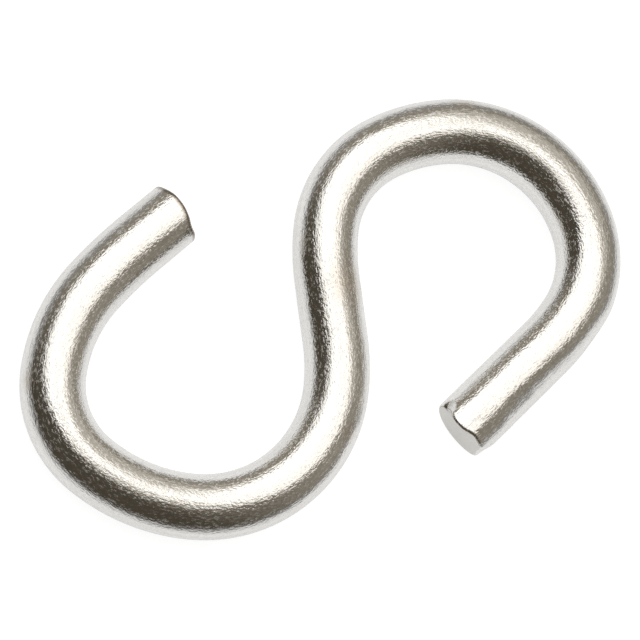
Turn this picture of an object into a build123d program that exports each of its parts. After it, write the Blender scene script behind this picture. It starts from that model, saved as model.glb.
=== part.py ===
from build123d import *

import os
from math import radians, tan
from typing import NamedTuple

# S hook: one length of round steel wire, bent cold into two hooks that open opposite ways.
#
# The wire lies flat on the XY plane. Its long axis, which is the line of pull, runs along X,
# and the origin is on the surface, under the middle of the hook. All sizes are in millimetres
# and degrees.


class Bend(NamedTuple):
    """One bend of the wire."""

    inside_radius: float
    angle: float


# --- Wire ------------------------------------------------------------------------------------

wire_diameter = 5.2

# --- Straight runs of the wire ---------------------------------------------------------------

shank_length = 4.9
shank_angle = 73.5  # from the line of pull
right_leg_length = 10.3  # to the longer side of the cut
left_leg_length = 4.2

# --- Bends, from the shank out to each open leg ----------------------------------------------
# A forming machine wraps each hook round its tools in one stroke. The wire is tight where a
# tool presses it, as at the shoulder and the nose, and springs to a slacker curve in between.

right_lead_in = Bend(15.0, 13.0)
right_shoulder = Bend(6.2, 56.5)
right_flank = Bend(11.4, 21.5)
right_crown = Bend(8.2, 77.5)
right_nose = Bend(5.9, 52.0)
right_run_out = Bend(13.3, 12.5)
right_bends = [right_lead_in, right_shoulder, right_flank, right_crown, right_nose, right_run_out]

left_lead_in = Bend(14.0, 13.0)
left_shoulder = Bend(8.4, 88.0)
left_crown = Bend(12.0, 34.5)
left_nose = Bend(5.3, 60.0)
left_flank = Bend(10.7, 33.5)
left_run_out = Bend(36.0, 7.5)
left_bends = [left_lead_in, left_shoulder, left_crown, left_nose, left_flank, left_run_out]

# --- Cut ends --------------------------------------------------------------------------------
# The wire is sheared off its coil a little out of square. Tumbling and plating leave the rim
# of each cut rounded.

shear_angle = 5.0
rim_radius = 0.25


def draw_hook(start, heading, bends, leg_length):
    """Draw the centre line of one hook, clockwise from the shank to the end of its open leg."""
    for bend in bends:
        arc = JernArc(start, heading, bend.inside_radius + wire_radius, -bend.angle)
        start, heading = arc @ 1, arc % 1
    Line(start, start + heading * leg_length)


wire_radius = wire_diameter / 2
shear_set_back = wire_radius * tan(radians(shear_angle))

# The shank is drawn from its middle, one half for each hook.
with BuildLine() as centre_line:
    right_half = PolarLine((0, 0), shank_length / 2, shank_angle)
    draw_hook(right_half @ 1, right_half % 1, right_bends, right_leg_length)
    left_half = PolarLine((0, 0), shank_length / 2, shank_angle + 180)
    draw_hook(left_half @ 1, left_half % 1, left_bends, left_leg_length)

# The hook lies on the surface with its middle over the origin.
middle = centre_line.line.bounding_box().center()
path = Location((-middle.X, -middle.Y, wire_radius)) * centre_line.wire()

with BuildPart() as s_hook:
    with BuildSketch(Plane(path @ 0, z_dir=path % 0)):
        Circle(wire_radius)
    sweep(path=path)

    # Each cut starts at the tip of the wire's longer side and leaves the other side shorter.
    for tip, outward in ((path @ 0, -(path % 0)), (path @ 1, path % 1)):
        cut_normal = outward.rotate(Axis.Z, -shear_angle)
        with BuildSketch(Plane(tip - outward * shear_set_back, z_dir=cut_normal)):
            Circle(wire_radius + shear_set_back)
        extrude(amount=2 * shear_set_back, mode=Mode.SUBTRACT)

    fillet(s_hook.faces().filter_by(GeomType.PLANE).edges(), rim_radius)

s_hook.part.label = "s_hook"

os.makedirs("parts", exist_ok=True)
export_step(s_hook.part, "parts/s_hook.step")
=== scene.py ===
# %% [markdown]
# # An S hook in bright-plated wire
#
# An S hook is one length of round steel wire, cut off a coil and bent cold into two hooks that
# open opposite ways. This lesson makes it in the order that the shop does. The wire is modelled
# straight, with its sheared ends. It is then bent, and last it gets its plating.

# %% Load the frame
import math

import bpy
from mathutils import Matrix, Vector


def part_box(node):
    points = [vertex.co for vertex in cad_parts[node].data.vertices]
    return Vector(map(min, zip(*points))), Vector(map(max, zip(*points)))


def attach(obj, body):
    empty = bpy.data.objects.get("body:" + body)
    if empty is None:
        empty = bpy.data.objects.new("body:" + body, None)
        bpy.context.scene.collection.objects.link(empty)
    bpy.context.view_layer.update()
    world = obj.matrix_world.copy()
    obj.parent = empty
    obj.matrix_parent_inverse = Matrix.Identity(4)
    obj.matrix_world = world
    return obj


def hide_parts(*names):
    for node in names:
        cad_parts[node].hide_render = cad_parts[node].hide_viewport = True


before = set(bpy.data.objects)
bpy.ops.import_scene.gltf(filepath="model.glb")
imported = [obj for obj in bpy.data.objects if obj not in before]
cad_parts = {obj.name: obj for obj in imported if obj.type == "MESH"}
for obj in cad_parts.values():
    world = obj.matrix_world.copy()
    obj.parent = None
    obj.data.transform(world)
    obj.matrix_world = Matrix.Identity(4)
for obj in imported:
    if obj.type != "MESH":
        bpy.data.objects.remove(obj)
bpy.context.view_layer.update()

NODE = "s_hook"
MM = 0.001
low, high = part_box(NODE)
print("the hook measures", [round(side / MM, 2) for side in high - low], "mm")

# %% [markdown]
# ## Sizes of the wire
#
# The hook lies flat, so its height is the wire's diameter. The rest is the list of bends, which
# is how a wire shop writes such a part down: a straight run, then each bend as an inside radius
# and an angle. The wire is tight where a tool pressed it and slacker in between.

# %% Name the sizes
WIRE_RADIUS = (high.z - low.z) / 2

SHANK_LENGTH = 4.9 * MM
SHANK_ANGLE = math.radians(73.5)
RIGHT_LEG = 10.3 * MM
LEFT_LEG = 4.2 * MM

# Inside radius in millimetres and angle in degrees, from the shank out to the open leg.
RIGHT_BENDS = [(15.0, 13.0), (6.2, 56.5), (11.4, 21.5), (8.2, 77.5), (5.9, 52.0), (13.3, 12.5)]
LEFT_BENDS = [(14.0, 13.0), (8.4, 88.0), (12.0, 34.5), (5.3, 60.0), (10.7, 33.5), (36.0, 7.5)]

SHEAR_ANGLE = math.radians(5.0)
SHEAR_SET_BACK = WIRE_RADIUS * math.tan(SHEAR_ANGLE)


def bend_length(bend):
    """Length of wire that a bend takes up, measured along its middle."""
    inside_radius, angle = bend
    return (inside_radius * MM + WIRE_RADIUS) * math.radians(angle)


WIRE_LENGTH = (
    LEFT_LEG + RIGHT_LEG + SHANK_LENGTH + sum(map(bend_length, LEFT_BENDS + RIGHT_BENDS))
)
print("the straight wire is", round(WIRE_LENGTH / MM, 2), "mm long")

# %% [markdown]
# ## The camera
#
# A long lens far away keeps the two hooks the same size. The camera looks down on the hook and
# leans a little towards the end of its left hook, so that the cut face of the right leg shows.

# %% Place the camera
CAMERA_DISTANCE = 468 * MM
CAMERA_LEAN = math.radians(16.3)
LEAN_TOWARDS = math.radians(198.86)
PICTURE_TURN = math.radians(-23.14)
LENS = 332.0
AIM = Vector((-0.24 * MM, 0.13 * MM, WIRE_RADIUS))

lean_axis = Vector((-math.sin(LEAN_TOWARDS), math.cos(LEAN_TOWARDS), 0))
turned = Matrix.Rotation(PICTURE_TURN, 4, "Z")
leaned = Matrix.Rotation(CAMERA_LEAN, 4, lean_axis)

bpy.ops.object.camera_add()
camera = bpy.context.object
camera.name = "camera"
camera.data.lens = LENS
camera.data.clip_end = 10
camera.matrix_world = (
    Matrix.Translation(AIM) @ leaned @ Matrix.Translation((0, 0, CAMERA_DISTANCE)) @ turned
)
bpy.context.scene.camera = camera
bpy.context.scene.view_settings.view_transform = "Standard"
print("camera at", [round(c, 3) for c in camera.matrix_world.translation])

# %% [markdown]
# ## Modelling helpers
#
# Operators act on whatever is selected, and loading the frame leaves the CAD nodes selected. A
# few small helpers deselect everything, and pick vertices by their place.


# %% Write the helpers
def deselect_all():
    """Leave nothing selected in object mode."""
    if bpy.context.mode != "OBJECT":
        bpy.ops.object.mode_set(mode="OBJECT")
    bpy.ops.object.select_all(action="DESELECT")


def select_vertices(piece, wanted):
    """In edit mode, select the vertices of piece that wanted says yes to."""
    bpy.ops.object.mode_set(mode="EDIT")
    bpy.ops.mesh.select_mode(type="VERT")
    bpy.ops.mesh.select_all(action="DESELECT")
    bpy.ops.object.mode_set(mode="OBJECT")
    for vertex in piece.data.vertices:
        vertex.select = wanted(vertex.co)
    bpy.ops.object.mode_set(mode="EDIT")


# %% [markdown]
# ## The straight wire
#
# The wire could be a curve with a round bevel, but a curve has no ends to work on. A circle
# extruded along X is a mesh from the start, and its two ends can be shaped while it is still
# easy to reach them. Each end is turned by the angle of the shear before the long bands are
# divided, so the rings behind it lean less and less.

# %% Extrude the wire
SIDES = 96
END_ZONE = 3.0 * MM
LEFT_TIP = SHEAR_SET_BACK
RIGHT_TIP = WIRE_LENGTH - SHEAR_SET_BACK

deselect_all()
bpy.ops.mesh.primitive_circle_add(vertices=SIDES, radius=WIRE_RADIUS, rotation=(0, math.pi / 2, 0))
wire = bpy.context.object
wire.name = "bent_wire"
wire.data.name = "bent_wire"
bpy.ops.object.transform_apply(location=True, rotation=True, scale=True)


def turn_ring(along, angle):
    """Turn the selected ring about the upright line through the wire's axis."""
    bpy.ops.transform.rotate(
        value=angle, orient_axis="Z", orient_type="GLOBAL", center_override=(along, 0, 0)
    )


bpy.ops.object.mode_set(mode="EDIT")
bpy.ops.mesh.select_all(action="SELECT")
bpy.ops.transform.translate(value=(LEFT_TIP, 0, 0))
turn_ring(LEFT_TIP, SHEAR_ANGLE)
along = LEFT_TIP
for station in (LEFT_TIP + END_ZONE, RIGHT_TIP - END_ZONE, RIGHT_TIP):
    bpy.ops.mesh.extrude_region_move(TRANSFORM_OT_translate={"value": (station - along, 0, 0)})
    if along == LEFT_TIP:
        turn_ring(station, -SHEAR_ANGLE)
    along = station
turn_ring(RIGHT_TIP, SHEAR_ANGLE)
print("rings stand at 4 stations along", round(WIRE_LENGTH / MM, 1), "mm")

# %% [markdown]
# ## The sheared ends
#
# A shear pushes one end of the wire past the other. The rim where the blade comes in is drawn
# down and rounded, and the rest of the face tears off flat. Each end is filled, and its rim
# gets a bevel. That comes before the bands behind it are divided, so that there is room for it.

# %% Close the ends and round their rims
RIM_RADIUS = 0.24 * MM
RIM_SEGMENTS = 4


def near_end(co, reach=WIRE_RADIUS / 4):
    """True within reach of either sheared end."""
    return co.x < LEFT_TIP + reach or co.x > RIGHT_TIP - reach


def near_left_end(co):
    """True in the half of the left end zone that is next to its tip."""
    return co.x < LEFT_TIP + END_ZONE / 2


def near_right_end(co):
    """True in the half of the right end zone that is next to its tip."""
    return co.x > RIGHT_TIP - END_ZONE / 2


for near_this_end in (near_left_end, near_right_end):
    select_vertices(wire, near_this_end)
    bpy.ops.mesh.edge_face_add()
select_vertices(wire, near_end)
bpy.ops.mesh.select_mode(type="EDGE")
bpy.ops.mesh.bevel(offset=RIM_RADIUS, segments=RIM_SEGMENTS, affect="EDGES")
bpy.ops.object.mode_set(mode="OBJECT")
bpy.context.view_layer.update()
print("closed wire has", len(wire.data.polygons), "faces")

# %% [markdown]
# ## Rings along the wire
#
# The wire needs enough rings to bend smoothly, and closer ones near its ends, where the shear
# left its marks. Dividing only the long edges adds rings and leaves the round sections alone.

# %% Divide the long bands
END_CUTS = 39
MIDDLE_CUTS = (20, 20)


def divide_long_edges(piece, low_x, high_x, cuts):
    """Cut the edges that run along the wire between two places into cuts + 1 parts."""
    bpy.ops.object.mode_set(mode="EDIT")
    bpy.ops.mesh.select_mode(type="EDGE")
    bpy.ops.mesh.select_all(action="DESELECT")
    bpy.ops.object.mode_set(mode="OBJECT")
    vertices = piece.data.vertices
    for edge in piece.data.edges:
        a, b = (vertices[index].co.x for index in edge.vertices)
        inside = min(a, b) > low_x and max(a, b) < high_x
        edge.select = inside and abs(a - b) > RIM_RADIUS
    bpy.ops.object.mode_set(mode="EDIT")
    bpy.ops.mesh.subdivide(number_cuts=cuts)
    bpy.ops.object.mode_set(mode="OBJECT")


half_zone = END_ZONE / 2
divide_long_edges(wire, -END_ZONE, LEFT_TIP + END_ZONE + half_zone, END_CUTS)
divide_long_edges(wire, RIGHT_TIP - END_ZONE - half_zone, RIGHT_TIP + END_ZONE, END_CUTS)
for cuts in MIDDLE_CUTS:
    divide_long_edges(
        wire, LEFT_TIP + END_ZONE - RIM_RADIUS, RIGHT_TIP - END_ZONE + RIM_RADIUS, cuts
    )
print("divided wire has", len(wire.data.polygons), "faces")

# %% Divide the sheared faces
FACE_RINGS = 9


def face_toward(piece, sign):
    """In edit mode, select the one many-sided face that looks along X, -1 for the left end."""
    bpy.ops.object.mode_set(mode="EDIT")
    bpy.ops.mesh.select_mode(type="FACE")
    bpy.ops.mesh.select_all(action="DESELECT")
    bpy.ops.object.mode_set(mode="OBJECT")
    for polygon in piece.data.polygons:
        polygon.select = len(polygon.vertices) == SIDES and polygon.normal.x * sign > 0.5
    bpy.ops.object.mode_set(mode="EDIT")


for sign in (-1, 1):
    face_toward(wire, sign)
    ring_width = (WIRE_RADIUS - RIM_RADIUS) / (FACE_RINGS + 0.5)
    for _ in range(FACE_RINGS):
        bpy.ops.mesh.inset(thickness=ring_width)
    bpy.ops.mesh.poke()
bpy.ops.mesh.select_all(action="SELECT")
bpy.ops.mesh.normals_make_consistent(inside=False)
bpy.ops.object.mode_set(mode="OBJECT")
print("with its end faces the wire has", len(wire.data.polygons), "faces")

# %% [markdown]
# ## Remember the straight wire
#
# Drawing leaves its grain along the wire before any bend is made. So each point keeps its place
# on the straight wire as an attribute, and the finish is worked out from that. The grain then
# follows every bend, with no seam.

# %% Store the straight places
straight = wire.data.attributes.new("straight_wire", "FLOAT_VECTOR", "POINT")
places = [value for vertex in wire.data.vertices for value in vertex.co]
straight.data.foreach_set("vector", places)
print("stored", len(straight.data), "places")

# %% [markdown]
# ## Marks of the shear and the forming tool
#
# Each mark is made as it is on clay: take hold of a few points and pull, with the surface round
# them following smoothly. Proportional editing does that, and the place of each pull is given
# along the wire and round it, in millimetres and degrees.

# %% Press the marks
def near_tip(along):
    """1 at a sheared end and 0 past its end zone, as the rings lean."""
    away = min(abs(along - LEFT_TIP), abs(along - RIGHT_TIP))
    return max(0.0, 1 - away / END_ZONE)


def on_wire(along, around):
    """A point on the straight wire: around is 0 on its left side, in degrees, and 90 on top."""
    turn = math.radians(around)
    across = WIRE_RADIUS * math.cos(turn)
    lean = across * math.tan(SHEAR_ANGLE) * near_tip(along)
    return Vector((along + lean, across, WIRE_RADIUS * math.sin(turn)))


def press(piece, along, around, move, reach, grip):
    """Pull the points within grip of a place by move, and the surface within reach with them."""
    place = on_wire(along, around)
    select_vertices(piece, lambda co: (co - place).length < grip * MM)
    bpy.ops.transform.translate(
        value=[step * MM for step in move],
        use_proportional_edit=True,
        use_proportional_connected=True,
        proportional_size=reach * MM,
        proportional_edit_falloff="SMOOTH",
    )
    bpy.ops.object.mode_set(mode="OBJECT")


# The right leg's cut: the steel ran on at the top, beside a nick, and its outer corner is round.
press(wire, RIGHT_TIP, 105, (0.42, 0.0, -0.15), reach=1.6, grip=0.35)
press(wire, RIGHT_TIP, 145, (-0.12, 0.13, -0.24), reach=0.6, grip=0.3)
press(wire, RIGHT_TIP, 5, (-0.05, -0.40, 0.0), reach=1.3, grip=0.3)
# The left leg's cut: it ran on at the top too, and the rim is drawn down on the inner side.
press(wire, LEFT_TIP, 100, (-0.22, 0.0, -0.05), reach=1.9, grip=0.4)
press(wire, LEFT_TIP, 45, (0.04, -0.03, -0.08), reach=0.7, grip=0.25)

# A forming tool left a long shallow flat on the outer side of the right leg. It runs aslant.
FLAT_START = 100.0
FLAT_STEP = 1.5
FLAT_PULLS = 7
FLAT_SLANT = 3.0
for step in range(FLAT_PULLS):
    flat_place = (FLAT_START + FLAT_STEP * step) * MM
    press(wire, flat_place, 18 + FLAT_SLANT * step, (0.0, -0.11, -0.07), reach=1.6, grip=0.5)
print("pressed the marks of two cuts and", FLAT_PULLS, "pulls of the flat")

# %% [markdown]
# ## Bend the wire
#
# The centre line is a Bezier curve: an arc needs handles of four thirds of its radius times
# the tangent of a quarter of its angle. A Curve modifier then wraps the straight wire along it,
# stretching the outside of each bend and squeezing its inside, as the steel does.

# %% Draw the centre line
def ahead(heading, distance):
    """A step of some distance in the direction of heading."""
    return Vector((math.cos(heading), math.sin(heading), 0)) * distance


def centre_line_knots():
    """Points, headings and handle lengths of the centre line, from the left tip to the right."""
    runs = [(LEFT_LEG, 0.0)]
    for inside_radius, angle in reversed(LEFT_BENDS):
        runs.append((inside_radius * MM + WIRE_RADIUS, math.radians(angle)))
    runs.append((SHANK_LENGTH, 0.0))
    for inside_radius, angle in RIGHT_BENDS:
        runs.append((inside_radius * MM + WIRE_RADIUS, -math.radians(angle)))
    runs.append((RIGHT_LEG, 0.0))

    heading = SHANK_ANGLE + math.pi - sum(math.radians(angle) for _, angle in LEFT_BENDS)
    heading += math.pi
    point = Vector((0, 0, 0))
    knots = []
    for size, turn in runs:
        start = (point.copy(), heading)
        if turn:
            centre = point + ahead(heading + math.copysign(math.pi / 2, turn), size)
            point = centre + Matrix.Rotation(turn, 3, "Z") @ (point - centre)
            handle = 4 / 3 * math.tan(abs(turn) / 4) * size
        else:
            point = point + ahead(heading, size)
            handle = size / 3
        heading += turn
        knots.append((start, (point.copy(), heading), handle))
    return knots


knots = centre_line_knots()
curve = bpy.data.curves.new("centre_line", "CURVE")
curve.dimensions = "3D"
curve.twist_mode = "Z_UP"
curve.resolution_u = 64
spline = curve.splines.new("BEZIER")
spline.bezier_points.add(len(knots))
for index, (start, end, handle) in enumerate(knots):
    for place, (point, heading), way in ((index, start, 1), (index + 1, end, -1)):
        knot = spline.bezier_points[place]
        knot.co = point
        knot.handle_left_type = knot.handle_right_type = "FREE"
        reach = ahead(heading, way * handle)
        if way == 1:
            knot.handle_right = point + reach
        else:
            knot.handle_left = point + reach
first, last = spline.bezier_points[0], spline.bezier_points[-1]
first.handle_left = 2 * first.co - first.handle_right
last.handle_right = 2 * last.co - last.handle_left
centre_line = bpy.data.objects.new("centre_line", curve)
bpy.context.scene.collection.objects.link(centre_line)

# The middle of the centre line's box stands over the origin, half a diameter up.
outline = bpy.data.meshes.new_from_object(centre_line)
xs = [vertex.co.x for vertex in outline.vertices]
ys = [vertex.co.y for vertex in outline.vertices]
bpy.data.meshes.remove(outline)
shift = Vector((-(min(xs) + max(xs)) / 2, -(min(ys) + max(ys)) / 2, WIRE_RADIUS))
curve.transform(Matrix.Translation(shift))
line_size = [round((max(values) - min(values)) / MM, 3) for values in (xs, ys)]
print("centre line spans", line_size, "mm")

# %% Wrap the wire along it
deselect_all()
bpy.context.view_layer.objects.active = wire
wire.select_set(True)
wrap = wire.modifiers.new("bend", "CURVE")
wrap.object = centre_line
wrap.deform_axis = "POS_X"
bpy.ops.object.modifier_apply(modifier=wrap.name)
bpy.data.objects.remove(centre_line)
bpy.ops.object.shade_smooth_by_angle(angle=math.radians(50))
for name, reached, allowed in (
    ("least", map(min, zip(*wire.bound_box)), low),
    ("greatest", map(max, zip(*wire.bound_box)), high),
):
    print(name, [round(v / MM, 2) for v in reached], "and the CAD's", [round(v / MM, 2) for v in allowed])

# %% [markdown]
# ## Shader maths in plain expressions
#
# A finish is a handful of formulas. A small class wraps a socket, so that a formula is written
# as one line of Python, and each operator adds its Math node.


# %% Wrap the shader sockets
class Value:
    """A socket of a material, with arithmetic."""

    def __init__(self, shop, socket):
        self.shop = shop
        self.socket = socket

    def math(self, operation, *others):
        return self.shop.node("ShaderNodeMath", {"operation": operation}, [self, *others])

    def __add__(self, other):
        return self.math("ADD", other)

    def __mul__(self, other):
        return self.math("MULTIPLY", other)

    def __sub__(self, other):
        return self.math("SUBTRACT", other)

    def __rsub__(self, other):
        return self.shop.node("ShaderNodeMath", {"operation": "SUBTRACT"}, [other, self])

    def beside(self, name):
        """Another output of the node that this value comes from."""
        return Value(self.shop, self.socket.node.outputs[name])

    __radd__ = __add__
    __rmul__ = __mul__


class Shop:
    """Adds nodes to one node tree."""

    def __init__(self, tree):
        self.tree = tree
        tree.nodes.clear()

    def node(self, kind, settings=None, sockets=(), output=0):
        """Add a node, set it up, fill its sockets by order or name, and give one output."""
        made = self.tree.nodes.new(kind)
        for name, value in (settings or {}).items():
            setattr(made, name, value)
        pairs = sockets.items() if isinstance(sockets, dict) else enumerate(sockets)
        for name, value in pairs:
            if isinstance(value, Value):
                self.tree.links.new(value.socket, made.inputs[name])
            else:
                made.inputs[name].default_value = value
        return Value(self, made.outputs[output]) if made.outputs else None

    def noise(self, place, scale, detail=2.0, roughness=0.5):
        sockets = {"Vector": place, "Scale": scale, "Detail": detail, "Roughness": roughness}
        return self.node("ShaderNodeTexNoise", {}, sockets)

    def ramp(self, value, start, stop, first=0.0, last=1.0):
        """Pass smoothly from first to last as value goes from start to stop."""
        sockets = [value, start, stop, first, last]
        return self.node("ShaderNodeMapRange", {"interpolation_type": "SMOOTHSTEP"}, sockets)

    def blend(self, amount, first, second):
        """Mix two colours."""
        sockets = {0: amount, 6: first, 7: second}
        return self.node("ShaderNodeMix", {"data_type": "RGBA"}, sockets, output=2)

    def scaled(self, vector, by):
        """Stretch a vector by a factor for each axis."""
        return self.node("ShaderNodeVectorMath", {"operation": "MULTIPLY"}, [vector, by])

    def dot(self, vector, other):
        """How far a vector goes along another."""
        settings = {"operation": "DOT_PRODUCT"}
        return self.node("ShaderNodeVectorMath", settings, [vector, other], output=1)


def new_material(name):
    material = bpy.data.materials.new(name)
    material.use_nodes = True
    return material, Shop(material.node_tree)


# %% [markdown]
# ## The plated finish
#
# Bright zinc over drawn wire is a mirror with a fine skin. The skin is a grain of about a sixth
# of a millimetre, drawn out along the wire, which breaks the edge of every reflection into
# sparks. Fainter die lines run along the wire, and the gloss changes from place to place. A
# brown line is painted along each sheared rim. It is partly bare steel, where the plating is
# thin, and partly painted shade in the crease behind the burr. On the right end it is painted
# on the top side only.

# %% Make the plated wire's finish
GRAIN = 0.15 * MM
RIPPLE = 0.5 * MM
DIE_LINES = 0.30 * MM
PATCHES = 6.0 * MM
BUMP_HEIGHT = 0.03 * MM
RIM_LINE = 0.20 * MM

plated, shop = new_material("plated_wire")
drawn = shop.node("ShaderNodeAttribute", {"attribute_name": "straight_wire"}, output=1)
grain = shop.noise(shop.scaled(drawn, (0.5, 1, 1)), 1 / GRAIN, detail=1.5, roughness=0.6)
ripple = shop.noise(shop.scaled(drawn, (0.4, 1, 1)), 1 / RIPPLE, detail=2)
lines = shop.noise(shop.scaled(drawn, (0.03, 1, 1)), 1 / DIE_LINES, detail=2)
patches = shop.noise(drawn, 1 / PATCHES, detail=3)
specks = shop.ramp(grain, 0.50, 0.66)
pits = shop.ramp(grain, 0.36, 0.46, 1.0, 0.0)
height = grain * 0.9 + ripple * 0.55 + lines * 0.3
surface = shop.node(
    "ShaderNodeBump", {}, {"Strength": 1.0, "Distance": BUMP_HEIGHT, "Height": height}
)

# How far each place is behind the sheared face of its own end.
from_cut = shop.dot(drawn, (1, -math.tan(SHEAR_ANGLE), 0))
left_rim = shop.ramp(from_cut, LEFT_TIP + RIM_LINE, LEFT_TIP + 2.5 * RIM_LINE, 1.0, 0.0)
right_rim = shop.ramp(from_cut, RIGHT_TIP - RIM_LINE / 2, RIGHT_TIP)
on_top = shop.ramp(shop.dot(drawn, (0, -0.5, 1)), 0.1 * MM, 1.2 * MM)
# The brown rim line is bare steel and painted shade in the crease behind the burr; at the right end it is
# painted on top only.
rim_shade_and_bare_steel = left_rim * 0.75 + right_rim * on_top


def scuff(along, around, reach):
    """1 at a place on the wire, and fading to 0 within reach of it."""
    centre = on_wire(along * MM, around)
    settings = {"operation": "DISTANCE"}
    away = shop.node("ShaderNodeVectorMath", settings, [drawn, centre], output=1)
    return shop.ramp(away, 0.0, reach * MM, 1.0, 0.0)


# Handling has dulled the plating in a few places, most of all at the middle of the shank.
scuffs = scuff(59, 120, reach=3.2) * 0.9 + scuff(79, 40, reach=1.5)
scuffs = scuffs + scuff(47.5, 127, reach=1.1) + scuff(18, 145, reach=1.2)

tint = shop.blend(specks, (0.82, 0.815, 0.80, 1), (0.95, 0.95, 0.945, 1))
tint = shop.blend(shop.ramp(lines, 0.40, 0.58, 0.25, 0.0), tint, (0.64, 0.63, 0.60, 1))
tint = shop.blend(pits * 0.25, tint, (0.50, 0.47, 0.42, 1))
# Paint the brown rim line: bare steel, and painted shade in the rim's crease.
tint = shop.blend(rim_shade_and_bare_steel, tint, (0.20, 0.15, 0.10, 1))
tint = shop.blend(scuffs * 0.45, tint, (0.58, 0.50, 0.40, 1))
roughness = shop.ramp(patches, 0.3, 0.7, 0.08, 0.12) + specks * 0.32 + scuffs * 0.12
metal = shop.node(
    "ShaderNodeBsdfPrincipled",
    {},
    {"Base Color": tint, "Metallic": 1.0, "Roughness": roughness, "Normal": surface},
)
shop.node("ShaderNodeOutputMaterial", {}, {"Surface": metal})
wire.data.materials.clear()
wire.data.materials.append(plated)

# %% Make the sheared faces' finish
TEAR_HEIGHT = 0.02 * MM

torn, shop = new_material("sheared_steel")
drawn = shop.node("ShaderNodeAttribute", {"attribute_name": "straight_wire"}, output=1)
tear = shop.noise(shop.scaled(drawn, (1, 1, 0.35)), 1 / GRAIN, detail=4, roughness=0.6)
surface = shop.node(
    "ShaderNodeBump", {}, {"Strength": 1.0, "Distance": TEAR_HEIGHT, "Height": tear}
)
tint = shop.blend(tear, (0.66, 0.65, 0.62, 1), (0.78, 0.77, 0.74, 1))
metal = shop.node(
    "ShaderNodeBsdfPrincipled",
    {},
    {"Base Color": tint, "Metallic": 1.0, "Roughness": 0.42, "Normal": surface},
)
shop.node("ShaderNodeOutputMaterial", {}, {"Surface": metal})
wire.data.materials.append(torn)

# The stored places tell which faces belong to a sheared end, whatever the bends did to them.
stored = wire.data.attributes["straight_wire"].data
for polygon in wire.data.polygons:
    corners = [stored[index].vector for index in polygon.vertices]
    beside = max(math.hypot(co.y, co.z) for co in corners)
    cut = beside < WIRE_RADIUS - RIM_RADIUS * 0.6 and near_end(corners[0])
    polygon.material_index = 1 if cut else 0
print("sheared faces:", sum(polygon.material_index for polygon in wire.data.polygons))

# %% [markdown]
# ## The floor
#
# The hook lies on a white sheet. The sheet shows as white to the camera and in the metal, and
# the rest of its light comes from the lamps, so the hook still has its shadow.

# %% Lay the floor
FLOOR_SIZE = 4.0
SHEET_MARGIN = 10 * MM

deselect_all()
bpy.ops.mesh.primitive_plane_add(size=FLOOR_SIZE, location=(0, 0, 0))
floor = bpy.context.object
floor.name = "floor"
paper, shop = new_material("white_sheet")
seen = shop.node("ShaderNodeLightPath", output=0)
mirrored = seen.beside("Is Glossy Ray").math("MAXIMUM", seen.beside("Is Transmission Ray"))
place = shop.node("ShaderNodeTexCoord", output=3)
spread = shop.scaled(place, (1 / (high.x + SHEET_MARGIN), 1 / (high.y + SHEET_MARGIN), 0))
away = shop.node("ShaderNodeVectorMath", {"operation": "LENGTH"}, [spread], output=1)
near = shop.ramp(away, 0.85, 1.5, 0.63, 0.0)
glow = shop.blend(seen * 0.85 + mirrored * near, (0, 0, 0, 1), (1, 1, 1, 1))
sheet = shop.node(
    "ShaderNodeBsdfPrincipled",
    {},
    {
        "Base Color": (0.25, 0.25, 0.25, 1),
        "Roughness": 1.0,
        "Specular IOR Level": 0.0,
        "Emission Color": glow,
        "Emission Strength": 1.0,
    },
)
shop.node("ShaderNodeOutputMaterial", {}, {"Surface": sheet})
floor.data.materials.append(paper)

# %% [markdown]
# ## The light
#
# Bright metal shows its surroundings, so the surroundings are what is lit. One round soft box
# overhead gives the long white highlight, and a wider, dimmer one softens its edge. A small one
# beside them gives the second highlight.
# The room is dim, and dimmer on one side. A wide lamp that the metal can't mirror brings the
# floor up to its own colour.

# %% Hang the lamps
LAMP_DISTANCE = 0.6


def lamp(name, around, off_top, half_angle, radiance, colour=(1, 1, 1), mirrored=True):
    """Hang a round lamp: turned round from X, off the vertical, and as wide as half_angle."""
    around, off_top = math.radians(around), math.radians(off_top)
    way = Vector(
        (
            math.sin(off_top) * math.cos(around),
            math.sin(off_top) * math.sin(around),
            math.cos(off_top),
        )
    )
    radius = LAMP_DISTANCE * math.tan(math.radians(half_angle))
    data = bpy.data.lights.new(name, "AREA")
    data.shape = "DISK"
    data.size = 2 * radius
    data.color = colour
    data.energy = radiance * math.pi * math.pi * radius**2
    hung = bpy.data.objects.new(name, data)
    bpy.context.scene.collection.objects.link(hung)
    hung.matrix_world = (
        Matrix.Translation(way * LAMP_DISTANCE) @ way.to_track_quat("Z", "Y").to_matrix().to_4x4()
    )
    hung.visible_glossy = mirrored
    hung.visible_camera = False
    return hung


lamp("soft_box", around=97, off_top=31, half_angle=28, radiance=0.62)
lamp("soft_edge", around=85, off_top=26, half_angle=31, radiance=0.44, colour=(1.0, 0.985, 0.95))
lamp("small_box", around=-18, off_top=25, half_angle=16, radiance=0.78, colour=(1.0, 0.98, 0.95))
lamp("halo", around=36, off_top=28, half_angle=42, radiance=0.24, colour=(1.0, 0.95, 0.88))
lamp("floor_wash", around=0, off_top=0, half_angle=60, radiance=0.8, mirrored=False)

# %% Dim the room
world = bpy.data.worlds.new("room")
bpy.context.scene.world = world
world.use_nodes = True
shop = Shop(world.node_tree)
way = shop.node("ShaderNodeTexCoord", output=0)
split = shop.dot(way, (0.93, 0.37, 0.0))
room = shop.blend(
    shop.ramp(split, -0.6, 0.5), (0.072, 0.061, 0.046, 1), (0.30, 0.27, 0.225, 1)
)
background = shop.node("ShaderNodeBackground", {}, {"Color": room, "Strength": 1.0})
shop.node("ShaderNodeOutputWorld", {}, {"Surface": background})
print("lamps hung and room dimmed")

# %% Finish
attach(wire, "root")
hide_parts(NODE)
